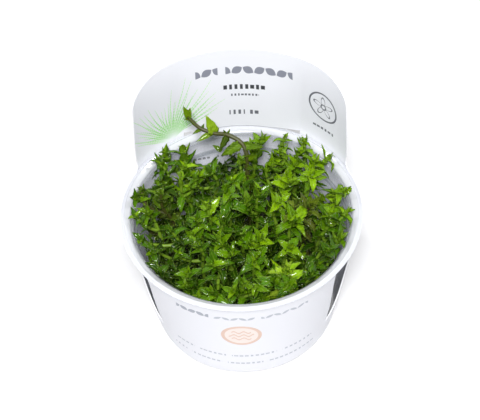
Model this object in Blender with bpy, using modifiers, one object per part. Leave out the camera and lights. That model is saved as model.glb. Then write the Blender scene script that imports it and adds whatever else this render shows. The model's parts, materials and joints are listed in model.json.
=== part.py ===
"""Hedge hyssop shoots in a clear cup that wears a die-cut card sleeve.

Metres, +Z up. The origin is the middle of the cup's flat base. -Y is the front of the card,
+Y is the side where its headboard stands up behind the rim.
"""

import math
import random

import bmesh
import bpy
from mathutils import Vector

# Cup
RIM_RADIUS = 0.0500
RIM_HEIGHT = 0.0597
RIM_LIP = 0.0014
MOUTH_RADIUS = 0.0452
MOUTH_HEIGHT = 0.0578
STEP_RADIUS = 0.0430
STEP_HEIGHT = 0.0500
STEP_LEDGE = 0.0008
BASE_RADIUS = 0.0375
BASE_CORNER = 0.0020
CUP_WALL = 0.0008
CUP_SEGMENTS = 40
CORNER_STEPS = 2

# Card sleeve: a cone, with its outline in degrees round from the back and height in metres
CARD_THICKNESS = 0.0005
CARD_BASE_RADIUS = 0.0390
CARD_FLARE = 0.154
CARD_FOOT = 0.0003
FRONT_TOP = 0.0566
WING_TOP = 0.0570
NOTCH_BACK = ((88.0, WING_TOP), (95.0, 0.0400), (102.5, 0.0250), (108.5, 0.0182), (115.0, 0.0145))
NOTCH_TIP = ((120.8, 0.0129), (122.2, 0.0125), (122.8, 0.0134))
NOTCH_FRONT = ((122.5, 0.0240), (123.8, 0.0340), (125.6, 0.0440), (126.3, FRONT_TOP - 0.0010))
SHOULDER_ANGLE = 66.0
HEADBOARD_ANGLE = 59.2
HEADBOARD_TOP = 0.0995
CORNER_ANGLE = 55.5
CORNER_HEIGHT = 0.0880
CORNER_START_ANGLE = 30.0
SLOT_ANGLE = 29.5
SLOT_BOTTOM = 0.0572
SLOT_TOP = 0.0601
CARD_COLUMN = 9.0
CARD_CORNER_STEPS = 7
CARD_ROWS = (0.0300, 0.0450, SLOT_BOTTOM, SLOT_TOP, 0.0740, 0.0880)
RIM_PUSH = 0.0029
PUSH_START_ANGLE = 8.0
PUSH_FADE_ANGLE = 75.0
PUSH_END_ANGLE = 125.0

# Nutrient gel
GEL_GAP = 0.0004
GEL_TOP = 0.0200
GEL_MENISCUS = 0.0010

# Shoots
SHOOT_COUNT = 45
SHOOT_SPREAD = 0.0340
SHOOT_LEAN = 0.0068
STEM_THICKNESS = 0.0013
STEM_BENDS = 1
NODE_HEIGHT = 0.0009
LEAF_PAIRS = (0.56, 0.72, 0.85, 0.95)
LEAF_LENGTH = 0.0100
LEAF_WIDTH = 0.0038
LEAF_TRIES = (1.0, 0.9, 0.8, 0.7, 0.6, 0.5)
LEAF_TILTS = (0.0, 14.0, -12.0)
LEAF_THICKNESS = 0.0005
LEAF_CLEARANCE = 0.0004
CANOPY_EDGE = 0.0605
CANOPY_RISE = 0.0055
CANOPY_HOLLOWS = (
    (0.0130, -0.0120, 0.0090, 0.0110),
    (0.0280, -0.0210, 0.0080, 0.0080),
    (-0.0100, 0.0360, 0.0110, 0.0090),
)
SHOOT_SEED = 11

# Tall shoot: points that its stem grows through, and the thicker stem's sizes
TALL_ROUTE = (
    (0.0045, 0.0120, 0.0204),
    (0.0030, 0.0170, 0.0400),
    (0.0023, 0.0235, 0.0590),
    (0.0012, 0.0290, 0.0665),
    (-0.0050, 0.0328, 0.0695),
    (-0.0117, 0.0352, 0.0705),
    (-0.0165, 0.0368, 0.0735),
    (-0.0205, 0.0385, 0.0785),
)
TALL_STEM = 0.0022
TALL_BENDS = 4
TALL_TWIST = 0.6
TALL_PAIRS = (0.60, 0.69, 0.77, 0.85, 0.92, 0.97)
TALL_LEAF_LENGTH = 0.0088


def clear_scene():
    for item in list(bpy.data.objects):
        bpy.data.objects.remove(item, do_unlink=True)


def make_collection(name):
    collection = bpy.data.collections.new(name)
    bpy.context.scene.collection.children.link(collection)
    return collection


def make_material(name, colour, roughness, metallic=0.0, transmission=0.0):
    material = bpy.data.materials.new(name)
    material.use_nodes = True
    shader = material.node_tree.nodes["Principled BSDF"]
    shader.inputs["Base Color"].default_value = (*colour, 1.0)
    shader.inputs["Roughness"].default_value = roughness
    shader.inputs["Metallic"].default_value = metallic
    shader.inputs["Transmission Weight"].default_value = transmission
    material.diffuse_color = (*colour, 1.0)
    return material


def add_object(name, mesh, material, collection):
    item = bpy.data.objects.new(name, mesh)
    mesh.materials.append(material)
    collection.objects.link(item)
    return item


def smooth_step(value):
    value = min(1.0, max(0.0, value))
    return value * value * (3.0 - 2.0 * value)


def round_corner(centre, radius, start, end, steps):
    """Points of an arc in the profile plane, as (radius, height), from start to end degrees."""
    points = []
    for index in range(steps + 1):
        angle = math.radians(start + (end - start) * index / steps)
        points.append((centre[0] + radius * math.cos(angle), centre[1] + radius * math.sin(angle)))
    return points


def turned_object(name, profile, segments, material, collection):
    """A closed solid turned from a profile that starts and ends on the axis."""
    mesh = bpy.data.meshes.new(name)
    edges = [(index, index + 1) for index in range(len(profile) - 1)]
    mesh.from_pydata([(r, 0.0, z) for r, z in profile], edges, [])
    item = add_object(name, mesh, material, collection)
    screw = item.modifiers.new("turn", "SCREW")
    screw.axis = "Z"
    screw.angle = math.tau
    screw.steps = segments
    screw.render_steps = segments
    screw.use_merge_vertices = True
    screw.merge_threshold = 0.00001
    screw.use_smooth_shade = False
    return item


def cup_inner_radius(height):
    """Inner radius of the cup's wall, up to the stacking step and above it."""
    if height < STEP_HEIGHT:
        inner_base = BASE_RADIUS - CUP_WALL
        return inner_base + (STEP_RADIUS - inner_base) * height / STEP_HEIGHT
    share = min(1.0, (height - STEP_HEIGHT) / (MOUTH_HEIGHT - STEP_HEIGHT))
    above_step = STEP_RADIUS + STEP_LEDGE
    return above_step + (MOUTH_RADIUS - above_step) * share


def build_cup(collection):
    """Thin shell: floor, tapered wall, stacking step, and a rim flange that rises outwards."""
    material = make_material("clear_plastic", (0.88, 0.90, 0.92), 0.18, transmission=0.6)
    floor = CUP_WALL * 1.2
    inner_corner = BASE_CORNER - CUP_WALL / 2.0
    corner_centre = (BASE_RADIUS - BASE_CORNER, floor + inner_corner)
    profile = [(0.0, floor)]
    profile += round_corner(corner_centre, inner_corner, -90.0, 0.0, CORNER_STEPS)
    profile += [
        (STEP_RADIUS, STEP_HEIGHT),
        (STEP_RADIUS + STEP_LEDGE, STEP_HEIGHT + STEP_LEDGE / 2.0),
        (MOUTH_RADIUS - 0.0006, MOUTH_HEIGHT - 0.0012),
        (MOUTH_RADIUS + 0.0004, MOUTH_HEIGHT),
        (RIM_RADIUS - 0.0006, RIM_HEIGHT),
        (RIM_RADIUS, RIM_HEIGHT - 0.0004),
        (RIM_RADIUS, RIM_HEIGHT - RIM_LIP),
        (RIM_RADIUS - CUP_WALL, RIM_HEIGHT - RIM_LIP),
        (MOUTH_RADIUS + 0.0010, MOUTH_HEIGHT - CUP_WALL),
        (MOUTH_RADIUS + 0.0002, MOUTH_HEIGHT - 0.0018),
        (STEP_RADIUS + STEP_LEDGE + CUP_WALL, STEP_HEIGHT - CUP_WALL / 2.0),
        (STEP_RADIUS + CUP_WALL, STEP_HEIGHT - CUP_WALL),
    ]
    outer_centre = (BASE_RADIUS - BASE_CORNER, BASE_CORNER)
    profile += round_corner(outer_centre, BASE_CORNER, 0.0, -90.0, CORNER_STEPS)
    profile.append((0.0, 0.0))
    return turned_object("cup", profile, CUP_SEGMENTS, material, collection)


def card_radius(angle, height):
    """Outer radius of the card: a cone, pushed out where it passes the rim flange's edge."""
    push_angle = (abs(angle) - PUSH_START_ANGLE) / (SLOT_ANGLE - PUSH_START_ANGLE)
    ease = min(1.0, max(0.0, push_angle)) ** 2
    rise = min(1.0, height / SLOT_BOTTOM)
    fall = 1.0 - smooth_step((height - SLOT_TOP) / (HEADBOARD_TOP - SLOT_TOP))
    fade_front = 1.0 - smooth_step((abs(angle) - PUSH_FADE_ANGLE) / (PUSH_END_ANGLE - PUSH_FADE_ANGLE))
    push = RIM_PUSH * ease * rise * fall * fade_front
    return CARD_BASE_RADIUS + CARD_FLARE * height + push


def card_outline():
    """Right half of the card's cut outline, from the back middle of its top to its front."""
    points = [(0.0, HEADBOARD_TOP)]
    for index in range(CARD_CORNER_STEPS + 1):
        turn = math.radians(90.0 * index / CARD_CORNER_STEPS)
        angle = CORNER_START_ANGLE + (CORNER_ANGLE - CORNER_START_ANGLE) * math.sin(turn)
        height = CORNER_HEIGHT + (HEADBOARD_TOP - CORNER_HEIGHT) * math.cos(turn)
        points.append((angle, height))
    points += [
        (HEADBOARD_ANGLE, 0.0630),
        (HEADBOARD_ANGLE + 0.8, 0.0595),
        (HEADBOARD_ANGLE + 2.8, 0.0576),
        (SHOULDER_ANGLE, WING_TOP),
        *NOTCH_BACK,
        *NOTCH_TIP,
        *NOTCH_FRONT,
        (NOTCH_FRONT[-1][0] + 1.0, FRONT_TOP),
        (180.0, FRONT_TOP),
    ]
    return points


def build_card(collection):
    """One flat outline, cut into columns and rows, bent round the cup and thickened."""
    material = make_material("white_card", (0.90, 0.91, 0.93), 0.45)
    half = card_outline()
    outline = [(-angle, height) for angle, height in reversed(half[1:])] + half
    outline += [(180.0, CARD_FOOT), (-180.0, CARD_FOOT)]
    flat = bmesh.new()
    corners = [flat.verts.new((math.radians(angle), 0.0, height)) for angle, height in outline]
    flat.faces.new(corners)

    def cut(point, normal):
        everything = flat.verts[:] + flat.edges[:] + flat.faces[:]
        bmesh.ops.bisect_plane(flat, geom=everything, plane_co=point, plane_no=normal, dist=1e-6)

    half_count = int(180.0 / CARD_COLUMN)
    columns = [CARD_COLUMN * index for index in range(1 - half_count, half_count)]
    for angle in columns + [-SLOT_ANGLE, SLOT_ANGLE]:
        cut((math.radians(angle), 0.0, 0.0), (1.0, 0.0, 0.0))
    for height in CARD_ROWS:
        cut((0.0, 0.0, height), (0.0, 0.0, 1.0))

    slot = []
    for face in flat.faces:
        middle = face.calc_center_median()
        inside = abs(middle.x) < math.radians(SLOT_ANGLE)
        if inside and SLOT_BOTTOM < middle.z < SLOT_TOP:
            slot.append(face)
    bmesh.ops.delete(flat, geom=slot, context="FACES")

    for vertex in flat.verts:
        angle = vertex.co.x
        height = vertex.co.z
        radius = card_radius(math.degrees(angle), height)
        vertex.co = Vector((radius * math.sin(angle), radius * math.cos(angle), height))
    bmesh.ops.remove_doubles(flat, verts=flat.verts[:], dist=0.00001)
    bmesh.ops.recalc_face_normals(flat, faces=flat.faces[:])
    sample = max(flat.faces, key=lambda face: -face.calc_center_median().y)
    if sample.normal.y > 0.0:
        bmesh.ops.reverse_faces(flat, faces=flat.faces[:])
    mesh = bpy.data.meshes.new("card_sleeve")
    flat.to_mesh(mesh)
    flat.free()
    item = add_object("card_sleeve", mesh, material, collection)
    thicken = item.modifiers.new("card", "SOLIDIFY")
    thicken.thickness = CARD_THICKNESS
    thicken.offset = -1.0
    return item


def build_gel(collection):
    """A pad that fills the cup's bottom, a gap short of the wall, with a slight meniscus."""
    material = make_material("nutrient_gel", (0.80, 0.78, 0.62), 0.10, transmission=0.5)
    bottom = CUP_WALL * 1.2 + GEL_GAP
    low = bottom + BASE_CORNER
    side = GEL_GAP
    profile = [
        (0.0, GEL_TOP),
        (cup_inner_radius(GEL_TOP) - side - 0.0025, GEL_TOP),
        (cup_inner_radius(GEL_TOP + GEL_MENISCUS) - side, GEL_TOP + GEL_MENISCUS),
        (cup_inner_radius(low) - side, low),
        (cup_inner_radius(bottom) - side - BASE_CORNER, bottom),
        (0.0, bottom),
    ]
    return turned_object("nutrient_gel", profile, CUP_SEGMENTS, material, collection)


def curve_points(route, steps):
    """Evenly timed points on a smooth curve through the route's own points."""
    padded = [2 * route[0] - route[1]] + list(route) + [2 * route[-1] - route[-2]]
    points = []
    spans = len(route) - 1
    for index in range(steps + 1):
        place = min(spans * index / steps, spans - 1e-9)
        span = int(place)
        t = place - span
        a, b, c, d = padded[span:span + 4]
        point = 0.5 * (2 * b + (c - a) * t + (2 * a - 5 * b + 4 * c - d) * t * t
                       + (3 * b - a - 3 * c + d) * t ** 3)
        points.append(point)
    return points


class Stem:
    """A stem's curve: places and directions by share of its length from 0 to 1."""

    def __init__(self, route):
        self.points = curve_points([Vector(point) for point in route], 48)
        self.lengths = [0.0]
        for first, second in zip(self.points, self.points[1:]):
            self.lengths.append(self.lengths[-1] + (second - first).length)
        self.length = self.lengths[-1]

    def at(self, share):
        wanted = share * self.length
        index = 1
        while index < len(self.lengths) - 1 and self.lengths[index] < wanted:
            index += 1
        span = self.lengths[index] - self.lengths[index - 1]
        t = (wanted - self.lengths[index - 1]) / span
        return self.points[index - 1].lerp(self.points[index], t)

    def direction(self, share):
        ahead = self.at(min(1.0, share + 0.02))
        behind = self.at(max(0.0, share - 0.02))
        return (ahead - behind).normalized()


def stem_frame(stem, share, twist):
    """Two directions across the stem, turned about it by twist, and the one along it."""
    along = stem.direction(share)
    guide = Vector((math.cos(twist), math.sin(twist), 0.0))
    side = (guide - along * guide.dot(along)).normalized()
    return side, along.cross(side), along


def capsule_distance(first, second):
    """Least distance between two straight pieces, read at five points along each."""
    least = 1.0
    for i in range(5):
        a = first[0].lerp(first[1], i / 4.0)
        for j in range(5):
            b = second[0].lerp(second[1], j / 4.0)
            least = min(least, (a - b).length)
    return least


class Space:
    """What already stands in the cup, as straight pieces with a half width and an owner."""

    def __init__(self):
        self.taken = []

    def add(self, owner, start, end, half_width):
        self.taken.append((owner, start, end, half_width))

    def is_clear(self, owner, start, end, half_width):
        reach = half_width + LEAF_CLEARANCE
        middle = start.lerp(end, 0.5)
        own_half = (end - start).length / 2.0
        for other, a, b, other_half in self.taken:
            far = own_half + (b - a).length / 2.0 + reach + other_half
            if other == owner or (a.lerp(b, 0.5) - middle).length > far:
                continue
            if capsule_distance((start, end), (a, b)) < reach + other_half:
                return False
        for share in (0.5, 1.0):
            point = start.lerp(end, share)
            across = math.hypot(point.x, point.y)
            wall = cup_inner_radius(point.z) - LEAF_CLEARANCE - half_width * (1.0 - share)
            if point.z < RIM_HEIGHT and across > wall:
                return False
            if across > RIM_RADIUS - 0.0010 or point.z < GEL_TOP + 0.0020:
                return False
        return True


def leaf_line(stem, share, twist, side_index, length, tilt):
    """Start and end of a leaf that leaves the stem on one of its four sides."""
    side, across, along = stem_frame(stem, share, twist)
    outward = (side, across, -side, -across)[side_index]
    lift = math.radians(4.0 + 40.0 * share ** 4 + tilt)
    direction = (outward * math.cos(lift) + along * math.sin(lift)).normalized()
    start = stem.at(share)
    return start, start + direction * length


def grow_leaf(body, face, start, end, half_width):
    """Pull one face of the stem out into a flat, pointed leaf."""
    direction = (end - start).normalized()
    across = direction.cross(Vector((0.0, 0.0, 1.0)))
    if across.length < 0.2:
        across = direction.cross(face.normal.cross(direction))
    across.normalize()
    up = across.cross(direction)
    widest = start.lerp(end, 0.42) + up * 0.0004
    corners = [vertex.co.copy() for vertex in face.verts]
    middle = sum(corners, Vector()) / 4.0
    new_face = bmesh.ops.extrude_discrete_faces(body, faces=[face])["faces"][0]
    for vertex, corner in zip(new_face.verts, corners):
        offset = corner - middle
        wide = 1.0 if offset.dot(across) > 0.0 else -1.0
        high = 1.0 if offset.dot(up) > 0.0 else -1.0
        vertex.co = widest + across * wide * half_width + up * high * LEAF_THICKNESS / 2.0
    tip_face = bmesh.ops.extrude_discrete_faces(body, faces=[new_face])["faces"][0]
    bmesh.ops.pointmerge(body, verts=tip_face.verts[:], merge_co=end)


def grow_shoot(name, owner, stem, twist, thickness, bends, pairs, leaf_size, space, material,
               collection):
    """A square stem with its leaf pairs, each pair turned a quarter from the one below."""
    shares = [pairs[0] * index / (bends + 1) for index in range(bends + 1)]
    for share in pairs:
        half = NODE_HEIGHT / 2.0 / stem.length
        shares += [share - half, share + half]
    shares.append(1.0)
    body = bmesh.new()
    rings = []
    for share in shares:
        side, across, _ = stem_frame(stem, share, twist)
        radius = thickness * (0.62 - 0.22 * share) if share < 1.0 else thickness * 0.12
        centre = stem.at(share)
        ring = []
        for sx, sy in ((1, -1), (1, 1), (-1, 1), (-1, -1)):
            ring.append(body.verts.new(centre + (side * sx + across * sy) * radius * 0.72))
        rings.append(ring)
    sides = []
    for lower, upper in zip(rings, rings[1:]):
        level = []
        for index in range(4):
            after = (index + 1) % 4
            level.append(body.faces.new((lower[index], lower[after], upper[after], upper[index])))
        sides.append(level)
    body.faces.new(reversed(rings[0]))
    body.faces.new(rings[-1])
    for number, share in enumerate(pairs):
        level = sides[1 + bends + 2 * number]
        width = leaf_size[1] * (1.0 - 0.35 * share ** 4)
        full_length = leaf_size[0] * (1.0 - 0.3 * share ** 4)
        for side_index in ((0, 2) if number % 2 == 0 else (1, 3)):
            fit = None
            for shrink in LEAF_TRIES:
                for tilt in LEAF_TILTS:
                    line = leaf_line(stem, share, twist, side_index, full_length * shrink, tilt)
                    half_width = width * shrink ** 0.5 / 2.0
                    if fit is None and space.is_clear(owner, *line, half_width):
                        fit = (*line, half_width)
            if fit:
                space.add(owner, *fit)
                grow_leaf(body, level[side_index], *fit)
    bmesh.ops.recalc_face_normals(body, faces=body.faces[:])
    if body.calc_volume(signed=True) < 0.0:
        bmesh.ops.reverse_faces(body, faces=body.faces[:])
    mesh = bpy.data.meshes.new(name)
    body.to_mesh(mesh)
    body.free()
    return add_object(name, mesh, material, collection)


def shoot_route(number, chance):
    """A short shoot's points: an even spiral over the gel, leaning out, under a domed canopy."""
    turn = number * math.radians(137.508)
    out = SHOOT_SPREAD * math.sqrt((number + 0.5) / SHOOT_COUNT)
    base = Vector((out * math.cos(turn), out * math.sin(turn), GEL_TOP + 0.0012))
    lean = SHOOT_LEAN * out / SHOOT_SPREAD
    drift = Vector((chance.uniform(-0.0012, 0.0012), chance.uniform(-0.0012, 0.0012), 0.0))
    dome = CANOPY_RISE * (1.0 - (out / SHOOT_SPREAD) ** 2)
    height = CANOPY_EDGE + dome + chance.uniform(-0.0025, 0.0025)
    tip = Vector((base.x, base.y, 0.0)) * ((out + lean) / out) + drift
    for x, y, reach, depth in CANOPY_HOLLOWS:
        height -= depth * (1.0 - smooth_step(math.hypot(tip.x - x, tip.y - y) / reach - 0.4))
    tip.z = height
    middle = base.lerp(tip, 0.55) - Vector((tip.x - base.x, tip.y - base.y, 0.0)) * 0.25
    return base, middle, tip


def build_shoots(collection):
    """The tall shoot first, then the short ones, each kept clear of all that stand already."""
    green = make_material("leaf_green", (0.16, 0.33, 0.04), 0.35)
    olive = make_material("olive_stem", (0.22, 0.22, 0.06), 0.35)
    chance = random.Random(SHOOT_SEED)
    space = Space()
    stems = {0: Stem(TALL_ROUTE)}
    for number in range(SHOOT_COUNT):
        route = shoot_route(number, chance)
        stem = Stem(route)
        own_places = [stem.at(index / 8.0) for index in range(9)]
        tall_places = [stems[0].at(index / 24.0) for index in range(25)]
        near_tall = min((own - tall).length for own in own_places for tall in tall_places)
        if near_tall > TALL_STEM + STEM_THICKNESS:
            stems[len(stems)] = stem
    for owner, stem in stems.items():
        thickness = STEM_THICKNESS if owner else TALL_STEM
        for piece in range(8):
            space.add(owner, stem.at(piece / 8.0), stem.at((piece + 1) / 8.0), thickness * 0.6)
    for owner, stem in stems.items():
        twist = chance.uniform(0.0, math.pi)
        if owner == 0:
            grow_shoot("tall_shoot", owner, stem, TALL_TWIST, TALL_STEM, TALL_BENDS, TALL_PAIRS,
                       (TALL_LEAF_LENGTH, LEAF_WIDTH * 1.15), space, olive, collection)
        else:
            grow_shoot("shoot_%02d" % owner, owner, stem, twist, STEM_THICKNESS, STEM_BENDS, LEAF_PAIRS,
                       (LEAF_LENGTH, LEAF_WIDTH), space, green, collection)


def main():
    clear_scene()
    collection = make_collection("hedge_hyssop")
    build_cup(collection)
    build_card(collection)
    build_gel(collection)
    build_shoots(collection)


main()
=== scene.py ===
"""Hedge hyssop in a clear cup with a white card sleeve: the finish of every piece.

Metres, +Z up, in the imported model's own frame: -Y is the front of the card and +Y is the side of
its headboard. The sections follow the object as it is put together.
"""

import json
import math
import random

import bmesh
import bpy
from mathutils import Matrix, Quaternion, Vector

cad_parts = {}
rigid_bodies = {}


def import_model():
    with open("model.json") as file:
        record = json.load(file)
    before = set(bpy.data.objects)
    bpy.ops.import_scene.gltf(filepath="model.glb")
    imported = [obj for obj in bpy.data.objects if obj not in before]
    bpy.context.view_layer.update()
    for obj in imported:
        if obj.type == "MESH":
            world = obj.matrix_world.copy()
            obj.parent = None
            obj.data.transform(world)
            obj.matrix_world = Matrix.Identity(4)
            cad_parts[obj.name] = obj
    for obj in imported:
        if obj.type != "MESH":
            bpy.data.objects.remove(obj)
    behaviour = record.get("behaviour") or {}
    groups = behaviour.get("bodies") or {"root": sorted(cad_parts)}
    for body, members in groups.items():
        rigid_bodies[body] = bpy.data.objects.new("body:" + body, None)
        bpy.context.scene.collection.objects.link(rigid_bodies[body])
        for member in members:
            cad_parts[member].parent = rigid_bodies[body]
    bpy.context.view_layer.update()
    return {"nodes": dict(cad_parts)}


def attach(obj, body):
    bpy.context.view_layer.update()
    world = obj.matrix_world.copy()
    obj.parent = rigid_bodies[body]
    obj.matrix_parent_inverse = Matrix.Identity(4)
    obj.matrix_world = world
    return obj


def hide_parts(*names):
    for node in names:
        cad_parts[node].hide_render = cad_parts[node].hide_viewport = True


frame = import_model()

MM = 0.001


# Cup
# One thin shell of clear plastic, drawn from sheet over a mould: a flat base with a rounded corner,
# a tapered wall, a small stacking step, and a flange round the mouth whose cut edge turns down.

cup_wall = 0.8 * MM
cup_corners = (
    (0.0, 0.8, 0.0),
    (36.6, 0.8, 1.8),
    (43.0, 49.9, 0.5),
    (43.9, 50.4, 0.5),
    (44.7, 56.8, 1.0),
    (45.6, 57.9, 1.0),
    (48.6, 59.5, 0.5),
    (49.2, 59.2, 0.4),
    (49.2, 58.3, 0.0),
)
cup_segments = 160
band_haze = 0.10
wall_haze = 0.18
flange_haze = 0.45


def eased_line(corners, steps=5):
    """Points in metres along (radius, height, rounding) corners, each eased by its rounding."""
    line = []
    for index, (radius, height, rounding) in enumerate(corners):
        here = Vector((radius, height))
        if rounding == 0.0:
            line.append(here * MM)
            continue
        before = Vector(corners[index - 1][:2])
        after = Vector(corners[index + 1][:2])
        start = here + (before - here).normalized() * rounding
        end = here + (after - here).normalized() * rounding
        for step in range(steps + 1):
            share = step / steps
            first = start.lerp(here, share)
            second = here.lerp(end, share)
            line.append(first.lerp(second, share) * MM)
    return line


def mesh_of(name, body):
    """A smooth mesh from an edited one, which it frees."""
    mesh = bpy.data.meshes.new(name)
    body.to_mesh(mesh)
    body.free()
    mesh.shade_smooth()
    return mesh


def stand(name, data):
    """A new object at the origin of the scene."""
    piece = bpy.data.objects.new(name, data)
    bpy.context.scene.collection.objects.link(piece)
    return piece


def turned(name, line, segments):
    """A sheet turned about Z from a line of (radius, height) points."""
    body = bmesh.new()
    points = [body.verts.new((point.x, 0.0, point.y)) for point in line]
    edges = [body.edges.new(pair) for pair in zip(points, points[1:])]
    bmesh.ops.spin(body, geom=points + edges, cent=(0, 0, 0), axis=(0, 0, 1),
                   angle=math.tau, steps=segments, use_duplicate=False)
    bmesh.ops.remove_doubles(body, verts=body.verts[:], dist=0.01 * MM)
    bmesh.ops.recalc_face_normals(body, faces=body.faces[:])
    return stand(name, mesh_of(name, body))


class Value:
    """A node's output that Python's signs work on: each sign adds one Math node to its tree."""

    def __init__(self, socket):
        self.socket = socket

    def __add__(self, other):
        return calc("ADD", self, other)

    def __radd__(self, other):
        return calc("ADD", other, self)

    def __sub__(self, other):
        return calc("SUBTRACT", self, other)

    def __rsub__(self, other):
        return calc("SUBTRACT", other, self)

    def __mul__(self, other):
        return calc("MULTIPLY", self, other)

    def __truediv__(self, other):
        return calc("DIVIDE", self, other)

    def __pow__(self, other):
        return calc("POWER", self, other)

    def __abs__(self):
        return calc("ABSOLUTE", self)


def wire(value, socket):
    """Links a value to a socket of its own tree."""
    socket.id_data.links.new(value.socket, socket)


def add_node(tree, kind, inputs=(), **settings):
    """A node with its settings, and its inputs set or linked by number or name."""
    node = tree.nodes.new(kind)
    for name, value in settings.items():
        setattr(node, name, value)
    for key, value in dict(inputs).items():
        if isinstance(key, int):
            socket = node.inputs[key]
        else:
            socket = next(item for item in node.inputs if item.name == key and item.enabled)
        if isinstance(value, Value):
            wire(value, socket)
        else:
            socket.default_value = value
    return node


def made(tree, kind, inputs=(), output=0, **settings):
    """One output of a new node."""
    return Value(add_node(tree, kind, inputs, **settings).outputs[output])


def tree_of(*values):
    """The tree of the first node output among the values."""
    return next(value.socket.id_data for value in values if isinstance(value, Value))


def calc(operation, *values):
    """What a Math node makes of its values."""
    return made(tree_of(*values), "ShaderNodeMath", dict(enumerate(values)), operation=operation)


def ramp(value, low, high, start, end):
    """A value taken from low and high to start and end, and held there."""
    inputs = {"Value": value, "From Min": low, "From Max": high, "To Min": start, "To Max": end}
    return made(tree_of(value), "ShaderNodeMapRange", inputs)


def mixed(share, first, second):
    """Two colours mixed by share."""
    node = add_node(tree_of(share, first, second), "ShaderNodeMix",
                    {"Factor": share, "A": first, "B": second}, data_type="RGBA")
    return Value(next(item for item in node.outputs if item.enabled))


def parts_of(tree, vector):
    """The three numbers of a vector."""
    split = add_node(tree, "ShaderNodeSeparateXYZ", {0: vector})
    return [Value(output) for output in split.outputs]


def grain(tree, scale, detail=3.0, roughness=0.5):
    """Noise in the object's own space, with scale in features per metre."""
    place = made(tree, "ShaderNodeTexCoord", output="Object")
    inputs = {"Vector": place, "Scale": scale, "Detail": detail, "Roughness": roughness}
    return made(tree, "ShaderNodeTexNoise", inputs)


def tone(red, green, blue):
    """A colour from screen values of 0 to 255, as the shader's own linear values."""
    shares = [value / 255.0 for value in (red, green, blue)]
    linear = [s / 12.92 if s < 0.04045 else ((s + 0.055) / 1.055) ** 2.4 for s in shares]
    return (*linear, 1.0)


def new_material(name):
    """A material with its tree and its Principled shader."""
    material = bpy.data.materials.new(name)
    material.use_nodes = True
    return material, material.node_tree, material.node_tree.nodes["Principled BSDF"]


def bumped(shader, height, distance, strength=1.0):
    """Sends a height through a Bump node to the shader's normal."""
    inputs = {"Strength": strength, "Distance": distance, "Height": height}
    wire(made(tree_of(height), "ShaderNodeBump", inputs), shader.inputs["Normal"])


cup = turned("clear_cup", eased_line(cup_corners), cup_segments)
highest = max(cup.data.polygons, key=lambda face: face.center.z if face.normal.length else 0.0)
if highest.normal.z < 0.0:
    cup.data.flip_normals()
shell = cup.modifiers.new("wall", "SOLIDIFY")
shell.thickness = cup_wall
shell.offset = -1.0

# Light passes the sheet almost freely. A little haze catches it, more where the sheet is drawn thick
# at the flange and where it is seen edge on. The ledges, the mouth's edge and the flange's turned-down
# skirt are painted as fine grey lines: painted shade for the light that these folds bend away.
haze_span = (47.0 * MM, 50.0 * MM)
ledge_line = 50.1 * MM
rib_foot = (50.8 * MM, 51.6 * MM)
rib_head = (55.6 * MM, 56.6 * MM)
rib_count = 180.0
flange_span = (57.2 * MM, 58.2 * MM)
mouth_line = 57.8 * MM
ledge_edge = (0.2 * MM, 0.5 * MM)
mouth_edge = (0.15 * MM, 0.4 * MM)
skirt_span = (48.3 * MM, 49.0 * MM)
clear_plastic, tree, shader = new_material("clear_plastic")
across, deep, height = parts_of(tree, made(tree, "ShaderNodeTexCoord", output="Object"))
facing = made(tree, "ShaderNodeLayerWeight", {"Blend": 0.5}, output="Facing")
flange = ramp(height, *flange_span, 0.0, 1.0)
ledge = ramp(abs(height - ledge_line), *ledge_edge, 1.0, 0.0)
mouth = ramp(abs(height - mouth_line), *mouth_edge, 0.7, 0.0)
streaks = grain(tree, 60.0)
round_about = calc("ARCTAN2", across, deep)
rib_band = ramp(height, *rib_foot, 0.0, 1.0) * ramp(height, *rib_head, 1.0, 0.0)
ribs = calc("SINE", round_about * rib_count) * rib_band
haze = ramp(height, *haze_span, wall_haze, band_haze) + facing ** 3.0 * 0.12
haze = haze + flange * flange_haze + ribs * 0.01
# Painted shade: grey lines at the ledge and mouth folds, and at the flange's turned-down edge below.
lines = calc("MAXIMUM", ledge, mouth)
radius = calc("SQRT", across ** 2.0 + deep ** 2.0)
skirt = ramp(radius, *skirt_span, 0.0, 0.5)
body = mixed(flange, tone(236, 238, 242), tone(248, 249, 252))
body = mixed(calc("MAXIMUM", lines, skirt), body, tone(222, 224, 229))
wire(body, shader.inputs["Base Color"])
passing = mixed(flange, tone(254, 254, 255), tone(248, 249, 252))
passing = mixed(lines, passing, tone(200, 204, 206))
shader.inputs["IOR"].default_value = 1.49
wire(ramp(streaks, 0.3, 0.7, 0.1, 0.18), shader.inputs["Roughness"])
bumped(shader, streaks + ribs * 0.3, 0.04 * MM, 0.15)
through = made(tree, "ShaderNodeBsdfTranslucent", {"Color": tone(244, 245, 250)})
milky = made(tree, "ShaderNodeMixShader", {0: 0.25, 1: Value(shader.outputs[0]), 2: through})
clear = made(tree, "ShaderNodeBsdfTransparent", {"Color": passing})
sheet = made(tree, "ShaderNodeMixShader", {0: calc("MINIMUM", haze, 0.9), 1: clear, 2: milky})
gloss = made(tree, "ShaderNodeBsdfGlossy", {"Roughness": 0.12})
shine = 0.02 + facing ** 5.0 * 0.12
surface = made(tree, "ShaderNodeMixShader", {0: shine, 1: sheet, 2: gloss})
wire(surface, tree.nodes["Material Output"].inputs["Surface"])
cup.data.materials.append(clear_plastic)


def made_solid(piece, sharp_angle):
    """Turns a piece and its modifiers into one plain mesh, with sharp edges past an angle."""
    evaluated = piece.evaluated_get(bpy.context.evaluated_depsgraph_get())
    solid = bpy.data.meshes.new_from_object(evaluated)
    piece.modifiers.clear()
    piece.data = solid
    solid.set_sharp_from_angle(angle=math.radians(sharp_angle))


made_solid(cup, 50.0)

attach(cup, "root")
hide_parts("cup")


# Card sleeve
# One die-cut sheet of white coated card, wrapped round the cup as a cone: a front panel under the
# flange, a V notch at each side, a slot that the flange passes through, and a tall headboard behind.

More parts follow.
